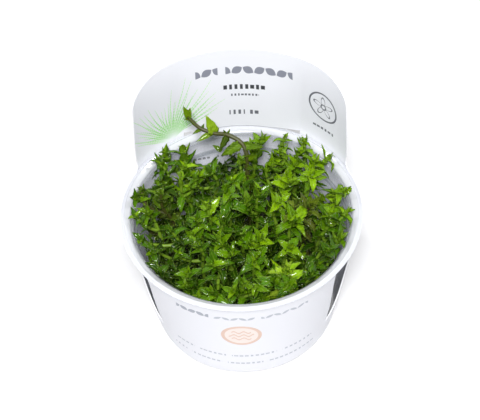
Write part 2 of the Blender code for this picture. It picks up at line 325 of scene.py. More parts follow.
card_thickness = 0.5 * MM
card_base_radius = 39.0 * MM
card_flare = 0.154
card_foot = 0.3 * MM
card_front_top = 56.6 * MM
card_wing_top = 57.0 * MM
notch_back = ((84.0, card_wing_top), (91.0, 40.0 * MM), (99.5, 25.0 * MM), (106.5, 18.2 * MM),
              (114.0, 14.5 * MM))
notch_tip = ((120.8, 12.9 * MM), (122.2, 12.5 * MM), (122.8, 13.4 * MM))
notch_front = ((122.5, 24.0 * MM), (123.8, 34.0 * MM), (125.6, 44.0 * MM),
               (126.3, card_front_top - 1.0 * MM))
headboard_angle = 59.2
headboard_top = 99.5 * MM
headboard_corner = (30.0, 55.5, 88.0 * MM)
headboard_foot = 63.5 * MM
shoulder_angle = 6.0
shoulder_rise = 4.5 * MM
slot_angle = 29.5
slot_bottom = 57.2 * MM
slot_top = 60.1 * MM
rim_push = 2.9 * MM
push_start_angle = 8.0
push_fade_angle = 75.0
push_end_angle = 125.0
card_column = 2.5
card_row = 3.0 * MM


def smooth_step(value):
    """0 up to 0 and 1 from 1 on, with an eased rise between them."""
    value = min(1.0, max(0.0, value))
    return value * value * (3.0 - 2.0 * value)


def card_radius(angle, height):
    """The card's outer radius: a cone, pushed out where it passes the flange's edge."""
    beyond = (abs(angle) - push_start_angle) / (slot_angle - push_start_angle)
    ease = min(1.0, max(0.0, beyond)) ** 2
    rise = min(1.0, height / slot_bottom)
    fall = 1.0 - smooth_step((height - slot_top) / (headboard_top - slot_top))
    fade = 1.0 - smooth_step((abs(angle) - push_fade_angle) / (push_end_angle - push_fade_angle))
    return card_base_radius + card_flare * height + rim_push * ease * rise * fall * fade


def card_outline():
    """Right half of the cut line, in degrees from the back and metres, from its top to its front."""
    start_angle, end_angle, low = headboard_corner
    points = [(0.0, headboard_top)]
    corner_steps = 20
    for index in range(corner_steps + 1):
        turn = math.radians(90.0 * index / corner_steps)
        angle = start_angle + (end_angle - start_angle) * math.sin(turn)
        points.append((angle, low + (headboard_top - low) * math.cos(turn)))
    points.append((headboard_angle, headboard_foot))
    shoulder_steps = 6
    for index in range(shoulder_steps + 1):
        turn = math.radians(90.0 * index / shoulder_steps)
        angle = headboard_angle + shoulder_angle * (1.0 - math.cos(turn))
        points.append((angle, card_wing_top + shoulder_rise * (1.0 - math.sin(turn))))
    points += [*notch_back, *notch_tip, *notch_front]
    points += [(notch_front[-1][0] + 1.0, card_front_top), (180.0, card_front_top)]
    return points


half_line = card_outline()
cut_line = [(-angle, height) for angle, height in reversed(half_line[1:])] + half_line
cut_line += [(180.0, card_foot), (-180.0, card_foot)]
flat = bmesh.new()
flat.faces.new([flat.verts.new((math.radians(angle), 0.0, height)) for angle, height in cut_line])
columns = int(180.0 / card_column)
angles = [card_column * index for index in range(1 - columns, columns)] + [-slot_angle, slot_angle]
heights = [card_row * index for index in range(1, int(headboard_top / card_row) + 1)]
cuts = [((math.radians(angle), 0.0, 0.0), (1.0, 0.0, 0.0)) for angle in angles]
cuts += [((0.0, 0.0, height), (0.0, 0.0, 1.0)) for height in (*heights, slot_bottom, slot_top)]
for point, normal in cuts:
    bmesh.ops.bisect_plane(flat, geom=flat.verts[:] + flat.edges[:] + flat.faces[:],
                           plane_co=point, plane_no=normal, dist=0.0001 * MM)
slot_faces = []
for face in flat.faces:
    middle = face.calc_center_median()
    if abs(middle.x) < math.radians(slot_angle) and slot_bottom < middle.z < slot_top:
        slot_faces.append(face)
bmesh.ops.delete(flat, geom=slot_faces, context="FACES")

# The print reads the sheet's own measure: millimetres along the arc from the back's middle for the
# headboard, the same from the front's middle for the front panel, and millimetres of height.
back_measure = flat.loops.layers.uv.new("from_back")
front_measure = flat.loops.layers.uv.new("from_front")
for face in flat.faces:
    for loop in face.loops:
        angle = loop.vert.co.x
        height = loop.vert.co.z
        radius = card_base_radius + card_flare * height
        from_front = angle - math.copysign(math.pi, face.calc_center_median().x)
        loop[back_measure].uv = (angle * radius / MM, height / MM)
        loop[front_measure].uv = (-from_front * radius / MM, height / MM)
for vertex in flat.verts:
    angle = vertex.co.x
    height = vertex.co.z
    radius = card_radius(math.degrees(angle), height)
    vertex.co = Vector((radius * math.sin(angle), radius * math.cos(angle), height))
bmesh.ops.remove_doubles(flat, verts=flat.verts[:], dist=0.01 * MM)
bmesh.ops.recalc_face_normals(flat, faces=flat.faces[:])
if max(flat.faces, key=lambda face: -face.calc_center_median().y).normal.y > 0.0:
    bmesh.ops.reverse_faces(flat, faces=flat.faces[:])
card = stand("printed_card_sleeve", mesh_of("printed_card_sleeve", flat))
board = card.modifiers.new("board", "SOLIDIFY")
board.thickness = card_thickness
board.offset = -1.0
board.material_offset = 1
board.material_offset_rim = 2


def mask_group(name, sizes, draw):
    """A node group that turns a place on the sheet, in millimetres, into one mark's ink mask."""
    group = bpy.data.node_groups.new(name, "ShaderNodeTree")
    group.interface.new_socket("Place", in_out="INPUT", socket_type="NodeSocketVector")
    for size in ("Across", "Up", *sizes):
        group.interface.new_socket(size, in_out="INPUT", socket_type="NodeSocketFloat")
    group.interface.new_socket("Mask", in_out="OUTPUT", socket_type="NodeSocketFloat")
    given = group.nodes.new("NodeGroupInput")
    place, middle, height, *values = (Value(output) for output in list(given.outputs)[:-1])
    across, up, _ = parts_of(group, place)
    mask = draw(across - middle, up - height, *values)
    wire(mask, group.nodes.new("NodeGroupOutput").inputs[0])
    return group


ink_softness = 0.06
garland_tilt = 0.55
shortest_dash = 0.2
dash_chance = 0.22
dash_height_chance = 0.35
shortest_blade = 0.55
blade_sway = 0.2
leaflet_rate = 2.1
spray_half_angle = 1.1
spray_fade = (1.0, 9.0)


def edge_mask(distance):
    """1 inside a shape and 0 outside it, from the distance to its edge in millimetres."""
    return ramp(distance, -ink_softness, ink_softness, 1.0, 0.0)


def chance_of(number):
    """A random share for each number."""
    return made(tree_of(number), "ShaderNodeTexWhiteNoise", {"W": number}, noise_dimensions="1D")


def draw_rosette(across, up, radius, petals, depth, line):
    """An outline whose radius swells with each petal; with no depth it is a plain ring."""
    far = calc("SQRT", across * across + up * up)
    turn = calc("ARCTAN2", across, up) * petals
    swell = calc("COSINE", turn) * depth
    wanted = radius * (swell + (1.0 - depth))
    gap = abs(far - wanted)
    return edge_mask(gap - line * 0.5)


def draw_garland(across, up, half_length, pitch, length, fat):
    """A row of small leaves, tilted up and down by turns."""
    slot = across / pitch
    number = calc("FLOOR", slot + 0.5)
    local = (slot - number) * pitch
    tilt = calc("COSINE", number * math.pi) * garland_tilt
    lean = calc("COSINE", tilt)
    rise = calc("SINE", tilt)
    along = local * lean + up * rise
    beside = up * lean - local * rise
    share = along / length
    half = (1.0 - share * share) * fat
    mask = edge_mask(abs(beside) - half)
    inside = edge_mask(abs(across) - half_length)
    return mask * inside


def draw_dashes(across, up, half_length, half_height, pitch):
    """A row of dashes of uneven length."""
    slot = across / pitch
    number = calc("FLOOR", slot)
    local = abs(slot - number - 0.5)
    chance = chance_of(number + half_length)
    half = shortest_dash + chance * dash_chance
    past = (local - half) * pitch
    tall = half_height * (1.0 - chance * dash_height_chance)
    above = abs(up) - tall
    mask = edge_mask(calc("MAXIMUM", past, above))
    inside = edge_mask(abs(across) - half_length)
    return mask * inside


def draw_wave(across, up, half_length, swing, pitch, line):
    """One even wave."""
    crest = calc("SINE", across * math.tau / pitch) * swing
    gap = abs(up - crest)
    mask = edge_mask(gap - line)
    inside = edge_mask(abs(across) - half_length)
    return mask * inside


def draw_spray(across, up, reach, blades, width):
    """A fan of feathery blades from one foot, each of its own length."""
    far = calc("SQRT", across * across + up * up)
    turn = calc("ARCTAN2", across, up)
    slot = turn * (blades / math.pi)
    number = calc("FLOOR", slot)
    chance = chance_of(number)
    share = far / (reach * (shortest_blade + chance * (1.0 - shortest_blade)))
    sway = calc("SINE", share * 4.0 + chance * 9.0) * blade_sway
    local = abs(slot - number - 0.5 + sway)
    gap = local * far * math.pi / blades
    leaflets = abs(calc("SINE", far * leaflet_rate + chance * 6.0))
    half = (1.15 - share) * width * (0.2 + leaflets)
    mask = edge_mask(gap - half)
    inside = calc("LESS_THAN", share, 1.0) * calc("LESS_THAN", abs(turn), spray_half_angle)
    soft = ramp(far, *spray_fade, 0.0, 0.8)
    return mask * inside * soft


rosette_group = mask_group("print_rosette", ("Radius", "Petals", "Depth", "Line"), draw_rosette)
garland_group = mask_group("print_garland", ("Half Length", "Pitch", "Length", "Fat"), draw_garland)
dash_group = mask_group("print_dashes", ("Half Length", "Half Height", "Pitch"), draw_dashes)
wave_group = mask_group("print_wave", ("Half Length", "Swing", "Pitch", "Line"), draw_wave)
spray_group = mask_group("print_spray", ("Reach", "Blades", "Width"), draw_spray)


def row_of(height, spans, *sizes):
    """Marks at one height, each from one arc measure to another."""
    return [((start + end) / 2.0, height, (end - start) / 2.0, *sizes) for start, end in spans]


def lit_through(shader, colour, glow, share):
    """Gives a thin sheet its colour, and the glow of the light that passes it from behind."""
    wire(colour, shader.inputs["Base Color"])
    tree = tree_of(colour)
    through = made(tree, "ShaderNodeBsdfTranslucent", {"Color": glow})
    both = made(tree, "ShaderNodeMixShader", {0: share, 1: Value(shader.outputs[0]), 2: through})
    wire(both, tree.nodes["Material Output"].inputs["Surface"])


card_white = tone(240, 241, 247)
card_shade = (*(value * 0.985 for value in card_white[:3]), 1.0)
card_glow = 0.14
ink_slate = tone(140, 143, 156)
ink_dark = tone(66, 68, 74)
ink_mid = tone(108, 110, 118)
ink_silver = tone(168, 172, 184)
ink_mist = tone(188, 192, 202)
ink_peach = tone(228, 198, 182)
ink_blush = tone(245, 232, 226)
ink_leaf = tone(184, 236, 160)
ink_fern = tone(134, 214, 104)


def printed_face(name, measure, prints):
    """Coated card: faint fibres under a smooth satin coat, and over them each ink's marks."""
    material, tree, shader = new_material(name)
    place = made(tree, "ShaderNodeUVMap", uv_map=measure)
    fibres = grain(tree, 900.0, 4.0, 0.6)
    colour = mixed(ramp(grain(tree, 35.0, 2.0), 0.3, 0.7, 0.0, 1.0), card_white, card_shade)
    wire(ramp(fibres, 0.3, 0.7, 0.34, 0.46), shader.inputs["Roughness"])
    bumped(shader, fibres, 0.02 * MM, 0.35)
    for ink, group, marks in prints:
        mask = 0.0
        for mark in marks:
            inputs = {0: place, **dict(enumerate(mark, 1))}
            mask = calc("MAXIMUM", mask, made(tree, "ShaderNodeGroup", inputs, node_tree=group))
        colour = mixed(mask, colour, ink)
    lit_through(shader, colour, colour, card_glow)
    return material


# Each mark is its middle, as millimetres across and up, and then the sizes that its drawing takes.
outer_face = printed_face("card_outer_face", "from_front", (
    (ink_silver, garland_group, row_of(49.3, [(-27.6, -13.2)], 3.6, 2.0, 1.35)),
    (ink_mist, garland_group, row_of(49.0, [(-11.2, 5.6), (8.0, 28.4)], 3.4, 1.9, 0.8)),
    (ink_blush, rosette_group, [(-0.4, 34.5, 3.6, 0.0, 0.0, 7.2)]),
    (ink_peach, rosette_group, [(-0.4, 34.5, 7.6, 0.0, 0.0, 1.5)]),
    (ink_peach, wave_group, [(-0.4, 31.7, 4.0, 0.8, 4.0, 0.5), (-0.4, 34.5, 5.2, 0.8, 4.0, 0.5),
                             (-0.4, 37.3, 4.0, 0.8, 4.0, 0.5)]),
    (ink_mist, dash_group,
     row_of(15.6, [(-31.0, -21.5), (-19.0, -7.5), (-5.0, 14.0), (16.5, 31.0)], 0.75, 2.2)
     + row_of(8.6, [(-32.5, -26.0), (-23.5, -9.5), (-7.0, 8.0), (10.5, 32.5)], 0.75, 2.2)),
))
inner_face = printed_face("card_inner_face", "from_back", (
    (ink_leaf, spray_group, [(-31.0, 58.5, 34.0, 34.0, 0.5)]),
    (ink_fern, spray_group, [(-29.5, 59.5, 24.0, 27.0, 0.36)]),
    (ink_slate, garland_group, row_of(89.2, [(-18.9, -9.3), (-6.0, 22.8)], 4.8, 2.6, 1.8)),
    (ink_dark, dash_group, row_of(80.6, [(-7.7, 11.0)], 1.35, 2.3)
     + row_of(44.4, [(-26.0, -14.0), (-11.5, -1.0)], 0.7, 1.9)),
    (ink_mid, dash_group, row_of(76.5, [(-4.8, 7.9)], 0.6, 1.5)
     + row_of(67.4, [(-5.1, 1.6), (3.4, 7.7)], 1.2, 2.2) + row_of(67.4, [(31.0, 42.5)], 0.7, 1.9)),
    (ink_mid, rosette_group, [(37.2, 79.4, 7.0, 0.0, 0.0, 0.75), (37.2, 79.4, 5.0, 5.0, 0.38, 0.65),
                              (37.2, 79.4, 1.2, 0.0, 0.0, 0.6)]),
))

cut_edge, tree, shader = new_material("card_cut_edge")
fibres = grain(tree, 2500.0, 3.0)
wire(mixed(fibres, tone(226, 227, 230), tone(204, 205, 208)), shader.inputs["Base Color"])
shader.inputs["Roughness"].default_value = 0.8

for material in (outer_face, inner_face, cut_edge):
    card.data.materials.append(material)
made_solid(card, 40.0)
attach(card, "root")
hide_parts("card_sleeve")


# Nutrient gel
# A pad of clear, faintly yellow set gel that was poured into the cup's bottom. Here it is coloured
# dark olive, as painted shade for the dark hollows under the canopy. It ends a hair short of the wall,
# which it climbs a little at its edge.

gel_top = 20.0 * MM
gel_corners = (
    (0.0, 20.0, 0.0),
    (36.2, 20.0, 1.5),
    (38.7, 21.0, 0.2),
    (36.9, 3.4, 1.2),
    (34.7, 1.4, 0.4),
    (0.0, 1.4, 0.0),
)
gel_segments = 96
gel = turned("set_gel", eased_line(gel_corners), gel_segments)
shade_darkened_gel, tree, shader = new_material("set_gel")
swirl = grain(tree, 90.0, 3.0)
# Dark olive: painted shade of the canopy's hollows, not the gel's own faint yellow.
wire(mixed(swirl, tone(92, 102, 54), tone(62, 72, 32)), shader.inputs["Base Color"])
wire(ramp(swirl, 0.2, 0.8, 0.05, 0.15), shader.inputs["Roughness"])
shader.inputs["Transmission Weight"].default_value = 0.4
shader.inputs["IOR"].default_value = 1.34
gel.data.materials.append(shade_darkened_gel)
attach(gel, "root")
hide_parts("nutrient_gel")


# Leaves
# The leaf of this plant is small, stalkless and lance-shaped, broad at its foot and sharp at its
# tip, folded along its midrib and wavy at its margin. Six shapes, one unit long, serve the short
# shoots.

leaf_stations = (0.0, 0.08, 0.20, 0.36, 0.54, 0.72, 0.87, 1.0)
leaf_widths = (0.60, 0.88, 1.0, 0.96, 0.78, 0.53, 0.25, 0.0)
leaf_teeth = 0.07
leaf_thickness = 0.014
leaf_ripple = 0.022
leaf_forms = (
    {"curl": 0.5, "fold": 0.75, "twist": 0.15, "width": 0.23},
    {"curl": 1.2, "fold": 0.50, "twist": -0.45, "width": 0.24},
    {"curl": -0.5, "fold": 0.90, "twist": 0.25, "width": 0.21},
    {"curl": 0.2, "fold": 0.40, "twist": 0.70, "width": 0.25},
    {"curl": 1.8, "fold": 0.80, "twist": -0.20, "width": 0.23},
    {"curl": -1.0, "fold": 0.65, "twist": -0.60, "width": 0.22},
)


def leaf_mesh(name, curl, fold, twist, width):
    """A closed, thin leaf along +X: an upper and a lower skin that share their margin."""
    body = bmesh.new()
    layers = {key: body.verts.layers.float.new(key)
              for key in ("blade", "leaf_along", "leaf_across", "leaf_side")}

    def place(station, across, lift):
        share = leaf_stations[station]
        ripple = leaf_ripple * (-1) ** station * abs(across) * (1.0 if across > 0.0 else -0.7)
        half = leaf_widths[station] * width * (1.0 + leaf_teeth * (-1) ** station)
        turn = curl * share
        x = math.sin(turn) / curl
        z = (math.cos(turn) - 1.0) / curl
        roll = twist * share
        side = across * half
        thick = lift * leaf_thickness * (1.0 - abs(across))
        up = fold * abs(side) + ripple * leaf_widths[station] + thick
        y = side * math.cos(roll) - up * math.sin(roll)
        rise = side * math.sin(roll) + up * math.cos(roll)
        vertex = body.verts.new((x + rise * math.sin(turn), y, z + rise * math.cos(turn)))
        vertex[layers["blade"]] = 1.0
        vertex[layers["leaf_along"]] = share
        vertex[layers["leaf_across"]] = across
        vertex[layers["leaf_side"]] = lift
        return vertex

    columns = (-1.0, -0.5, 0.0, 0.5, 1.0)
    strips = len(columns) - 1
    last = len(leaf_stations) - 1
    tip = place(last, 0.0, 0.0)
    upper = []
    lower = []
    for station in range(last):
        if station == 0:
            top = [place(station, across, 0.0) for across in columns]
            bottom = top
        else:
            top = [place(station, across, 1.0 - (abs(across) == 1.0)) for across in columns]
            inner = [place(station, across, -1.0) for across in columns[1:-1]]
            bottom = [top[0], *inner, top[-1]]
        upper.append(top)
        lower.append(bottom)
    for skin, rows in ((1, upper), (-1, lower)):
        for first, second in zip(rows, rows[1:]):
            for index in range(strips):
                corners = (first[index], second[index], second[index + 1], first[index + 1])
                body.faces.new(corners[::-skin])
        for index in range(strips):
            corners = (rows[-1][index], tip, rows[-1][index + 1])
            body.faces.new(corners[::-skin])
    bmesh.ops.recalc_face_normals(body, faces=body.faces[:])
    return mesh_of(name, body)


def leaf_collection(name, forms):
    """Leaf forms as a collection, for the growth tree to pick from."""
    shapes = bpy.data.collections.new(name)
    bpy.context.scene.collection.children.link(shapes)
    for number, form in enumerate(forms):
        shape = "%s_%d" % (name, number)
        shapes.objects.link(bpy.data.objects.new(shape, leaf_mesh(shape, **form)))
    return shapes


leaf_shapes = leaf_collection("leaf_shapes", leaf_forms)


def read_value(tree, name):
    """A float attribute of the piece."""
    return made(tree, "ShaderNodeAttribute", output="Fac", attribute_name=name)


# The skin is glossy and wet. Young leaves are yellow-green and old ones deep green; the underside
# is paler and greyer, the midrib is pale, the pale margin and tip are partly the leaf's own pale edge
# and partly a painted highlight of the wet edges, and light shines through the blade.
hyssop_leaf, tree, shader = new_material("hyssop_leaf")
tint = read_value(tree, "tint")
age = read_value(tree, "age")
bronze = read_value(tree, "bronze")
along = read_value(tree, "leaf_along")
under = read_value(tree, "leaf_side")
across = abs(read_value(tree, "leaf_across"))
mottle = grain(tree, 420.0, 3.0, 0.6)
youth = tint * 0.6 + 0.5 - age * 0.9
colour = mixed(ramp(youth, -0.3, 0.3, 0.0, 1.0), tone(26, 54, 0), tone(82, 132, 2))
colour = mixed(ramp(youth, 0.3, 1.1, 0.0, 1.0), colour, tone(164, 210, 14))
colour = mixed(ramp(youth, 1.1, 1.9, 0.0, 1.0), colour, tone(186, 208, 74))
colour = mixed(bronze * 0.85, colour, tone(100, 92, 36))
colour = mixed(ramp(under, -1.0, -0.4, 0.5, 0.0), colour, tone(92, 122, 48))
midrib = ramp(across, 0.04, 0.14, 0.35, 0.0)
colour = mixed(midrib, colour, tone(160, 192, 60))
# Pale margin and tip: partly the leaf's own pale edge, partly a painted highlight of the wet edges.
margin_with_painted_glint = ramp(across, 0.8, 1.0, 0.0, 0.7)
tip_with_painted_glint = ramp(along, 0.85, 1.0, 0.0, 0.4)
colour = mixed(calc("MAXIMUM", margin_with_painted_glint, tip_with_painted_glint), colour, tone(190, 224, 90))
colour = mixed(ramp(mottle, 0.35, 0.7, 0.0, 0.3), colour, tone(44, 78, 6))
wire(ramp(mottle, 0.3, 0.7, 0.22, 0.38), shader.inputs["Roughness"])
shader.inputs["IOR"].default_value = 1.25
shader.inputs["Coat Weight"].default_value = 1.0
shader.inputs["Coat Roughness"].default_value = 0.05
shader.inputs["Coat IOR"].default_value = 1.4
vein_place = along + across * -0.35
side_veins = calc("SINE", vein_place * 42.0)
relief = side_veins * 0.3 + mottle
water_beads = made(tree, "ShaderNodeTexVoronoi",
                   {"Vector": made(tree, "ShaderNodeTexCoord", output="Object"), "Scale": 480.0},
                   output="Distance")
beads = ramp(water_beads, 0.0, 0.5, 1.2, 0.0)
bumped(shader, relief + beads, 0.3 * MM, 0.9)
lit_through(shader, colour, mixed(0.45, colour, tone(164, 214, 20)), 0.34)

hyssop_stem, tree, shader = new_material("hyssop_stem")
bronze = read_value(tree, "bronze")
mottle = grain(tree, 300.0, 3.0)
dark_share = calc("MINIMUM", bronze * 2.5, 1.0)
colour = mixed(dark_share, tone(104, 138, 24), tone(44, 33, 12))
colour = mixed(ramp(mottle, 0.35, 0.65, 0.0, 0.3), colour, tone(74, 70, 24))
wire(colour, shader.inputs["Base Color"])
wire(ramp(mottle, 0.3, 0.7, 0.42, 0.58), shader.inputs["Roughness"])
bumped(shader, mottle, 0.15 * MM, 0.5)


# Growing a shoot
# A shoot is a round-cornered stem with a pair of leaves at each node, each pair turned a quarter
# from the one below. The tree puts leaves on a line of nodes and skins the line as the stem.

stem_sides = 7
size_chance = (0.8, 1.18)
width_chance = (0.85, 1.15)
roll_scatter = 1.6
route_steps = 60
bare_gap = 4.0 * MM
aim_reach = 0.5 * MM
stem_taper = 0.4
bud_size = 0.42
grown_rank = 2.2
old_rank = 7.0
spread_curve = 0.7
gap_chance = (0.85, 1.15)
growth = bpy.data.node_groups.new("leafy_shoot", "GeometryNodeTree")
growth.interface.new_socket("Geometry", in_out="INPUT", socket_type="NodeSocketGeometry")
growth.interface.new_socket("Geometry", in_out="OUTPUT", socket_type="NodeSocketGeometry")
growth_inputs = {}
for name, kind in (("Leaf Shapes", "Collection"), ("Leaf Material", "Material"),
                   ("Stem Material", "Material"), ("Leaf Width", "Float"), ("Unruliness", "Float"),
                   ("Bronze", "Float"), ("Paleness", "Float"), ("Wall Foot", "Float"),
                   ("Wall Slope", "Float"), ("Ledge Height", "Float"), ("Ledge Step", "Float"),
                   ("Mouth Height", "Float"), ("Mouth Overlap", "Float"), ("Seed", "Int")):
    item = growth.interface.new_socket(name, in_out="INPUT", socket_type="NodeSocket" + kind)
    growth_inputs[name] = item.identifier

given = {output.name: Value(output) for output in growth.nodes.new("NodeGroupInput").outputs}


def named(name, kind="FLOAT"):
    """A value that the line of nodes carries."""
    return made(growth, "GeometryNodeInputNamedAttribute", {"Name": name}, data_type=kind)


def chance_value(low, high, offset):
    """A random value for each leaf, from the shoot's own seed."""
    inputs = {"Min": low, "Max": high, "Seed": given["Seed"] + offset}
    return made(growth, "FunctionNodeRandomValue", inputs, output=1)


def turned_by(rotation, axis, angle):
    """A rotation followed by a turn about its own axis."""
    turn = made(growth, "FunctionNodeAxisAngleToRotation", {"Axis": axis, "Angle": angle})
    inputs = {"Rotation": rotation, "Rotate By": turn}
    return made(growth, "FunctionNodeRotateRotation", inputs, rotation_space="LOCAL")


line = made(growth, "GeometryNodeMeshToCurve", {0: given["Geometry"]})
ring = made(growth, "GeometryNodeCurvePrimitiveCircle", {"Resolution": stem_sides, "Radius": 1.0})
stem = made(growth, "GeometryNodeCurveToMesh",
            {"Curve": line, "Profile Curve": ring, "Scale": named("girth"), "Fill Caps": True})

pairs = add_node(growth, "GeometryNodeDuplicateElements",
                 {"Geometry": given["Geometry"], "Amount": named("leaves", "INT")}, domain="POINT")
tint_value = chance_value(0.0, 1.0, 1) + given["Paleness"]
nodes_of_leaves = made(growth, "GeometryNodeStoreNamedAttribute",
                       {"Geometry": Value(pairs.outputs[0]), "Name": "tint", "Value": tint_value})
side = Value(pairs.outputs[1]) * math.pi
turn = named("turn") + side + chance_value(-1.0, 1.0, 2) * given["Unruliness"]
lift = named("lift") + chance_value(-1.0, 1.0, 3) * given["Unruliness"]
roll = named("roll") + chance_value(-roll_scatter, roll_scatter, 4) * given["Unruliness"]
upright = made(growth, "FunctionNodeAxesToRotation",
               {"Primary Axis": named("along", "FLOAT_VECTOR"), "Secondary Axis": (1.0, 0.0, 0.0)})
facing_out = turned_by(upright, (0.0, 0.0, 1.0), turn)
lifted = turned_by(facing_out, (0.0, 1.0, 0.0), lift * -1.0)
rolled = turned_by(lifted, (1.0, 0.0, 0.0), roll)
long = named("size") * chance_value(*size_chance, 5)
wide = long * (given["Leaf Width"] * chance_value(*width_chance, 7))
scale = made(growth, "ShaderNodeCombineXYZ", {0: long, 1: wide, 2: long})
shapes = made(growth, "GeometryNodeCollectionInfo",
              {"Collection": given["Leaf Shapes"], "Separate Children": True, "Reset Children": True})
pick = calc("FLOOR", chance_value(0.0, len(leaf_forms) - 0.01, 6))
leafy = calc("GREATER_THAN", named("size"), 0.0)
leaves = made(growth, "GeometryNodeInstanceOnPoints",
              {"Points": nodes_of_leaves, "Instance": shapes, "Pick Instance": True,
               "Selection": leafy, "Instance Index": pick, "Rotation": rolled, "Scale": scale})

together = add_node(growth, "GeometryNodeJoinGeometry")
wire(stem, together.inputs[0])
wire(leaves, together.inputs[0])
real = made(growth, "GeometryNodeRealizeInstances", {0: Value(together.outputs[0])})

# Leaves that would pass through the wall give way to it, more the further they would reach. Above
# the mouth they may lie over the flange's inner edge.
give_depth = 2.4 * MM
give_soft = 3.0 * MM
mouth_rise = 3.0 * MM
across, deep, height = parts_of(growth, made(growth, "GeometryNodeInputPosition"))
out = calc("SQRT", across ** 2.0 + deep ** 2.0)
wall = given["Wall Foot"] + height * given["Wall Slope"]
above_ledge = calc("GREATER_THAN", height, given["Ledge Height"])
over_mouth = ramp(height - given["Mouth Height"], 0.0, mouth_rise, 0.0, 1.0)
limit = wall + above_ledge * given["Ledge Step"] + over_mouth * given["Mouth Overlap"]
start = limit - give_depth
excess = calc("MAXIMUM", out - start, 0.0)
eased = 1.0 - calc("EXPONENT", excess / -give_soft)
kept_out = calc("MINIMUM", out, start) + eased * give_depth
pull = kept_out / calc("MAXIMUM", out, 0.01 * MM)
placed = made(growth, "ShaderNodeCombineXYZ", {0: across * pull, 1: deep * pull, 2: height})
fitted = made(growth, "GeometryNodeSetPosition", {"Geometry": real, "Position": placed})
fitted = made(growth, "GeometryNodeStoreNamedAttribute",
              {"Geometry": fitted, "Name": "bronze", "Value": given["Bronze"]})
smooth = made(growth, "GeometryNodeSetShadeSmooth", {"Geometry": fitted})
on_stem = made(growth, "GeometryNodeSetMaterial",
               {"Geometry": smooth, "Material": given["Stem Material"]})
is_blade = calc("GREATER_THAN", named("blade"), 0.5)
on_leaf = made(growth, "GeometryNodeSetMaterial",
               {"Geometry": on_stem, "Selection": is_blade, "Material": given["Leaf Material"]})
wire(on_leaf, growth.nodes.new("NodeGroupOutput").inputs[0])

cup_fit = {"Wall Foot": 36.2 * MM, "Wall Slope": 0.1285, "Ledge Height": 50.6 * MM,
           "Ledge Step": 0.7 * MM, "Mouth Height": 58.6 * MM, "Mouth Overlap": 3.2 * MM}


def smooth_route(route, steps):
    """Points on a smooth curve through the route's own points."""
    padded = [2 * route[0] - route[1], *route, 2 * route[-1] - route[-2]]
    spans = len(route) - 1
    points = []
    for index in range(steps + 1):
        place = min(spans * index / steps, spans - 1e-9)
        span = int(place)
        t = place - span
        a, b, c, d = padded[span:span + 4]
        points.append(0.5 * (2 * b + (c - a) * t + (2 * a - 5 * b + 4 * c - d) * t * t
                             + (3 * b - a - 3 * c + d) * t ** 3))
    return points


def node_line(route, spec, chance):
    """A stem's points with what each needs: nodes with leaves near the tip, and bare ones below."""
    path = smooth_route(route, route_steps)
    lengths = [0.0]
    for first, second in zip(path, path[1:]):
        lengths.append(lengths[-1] + (second - first).length)
    total = lengths[-1]

    def at(distance):
        index = 1
        while index < len(path) - 1 and lengths[index] < distance:
            index += 1
        span = lengths[index] - lengths[index - 1]
        return path[index - 1].lerp(path[index], (distance - lengths[index - 1]) / span)

    marks = []
    back = spec["tip_gap"]
    gap = spec["first_gap"]
    rank = 0
    while back < total * spec["leafy_share"]:
        marks.append((total - back, rank))
        back += gap * chance.uniform(*gap_chance)
        gap = min(gap * spec["gap_growth"], spec["longest_gap"])
        rank += 1
    low = marks[-1][0]
    bare_steps = max(2, int(low / bare_gap))
    marks += [(low * (1.0 - (index + 1) / bare_steps), None) for index in range(bare_steps)]
    marks.reverse()
    points = []
    for distance, rank in marks:
        ahead = at(min(total, distance + aim_reach))
        behind = at(max(0.0, distance - aim_reach))
        points.append({"co": at(distance), "along": (ahead - behind).normalized(), "rank": rank,
                       "share": distance / total})
    return points


def dress_line(points, spec, twist, vigour):
    """Turn, lift, size, girth and age of each node, by its rank from the tip."""
    for point in points:
        rank = point["rank"]
        point.update(girth=spec["stem"] * (1.0 - stem_taper * point["share"]), roll=0.0, leaves=2)
        if rank is None:
            point.update(turn=0.0, lift=0.0, size=0.0, age=1.0)
            continue
        spread = min(1.0, rank / spec["spread_ranks"])
        point["turn"] = twist + (rank % 2) * math.pi / 2.0
        lift = spec["tip_lift"] + (spec["low_lift"] - spec["tip_lift"]) * spread ** spread_curve
        point["lift"] = math.radians(lift)
        grown = bud_size + (1.0 - bud_size) * min(1.0, rank / grown_rank)
        point["size"] = spec["leaf"] * vigour * grown
        point["age"] = min(1.0, rank / old_rank)
    return points


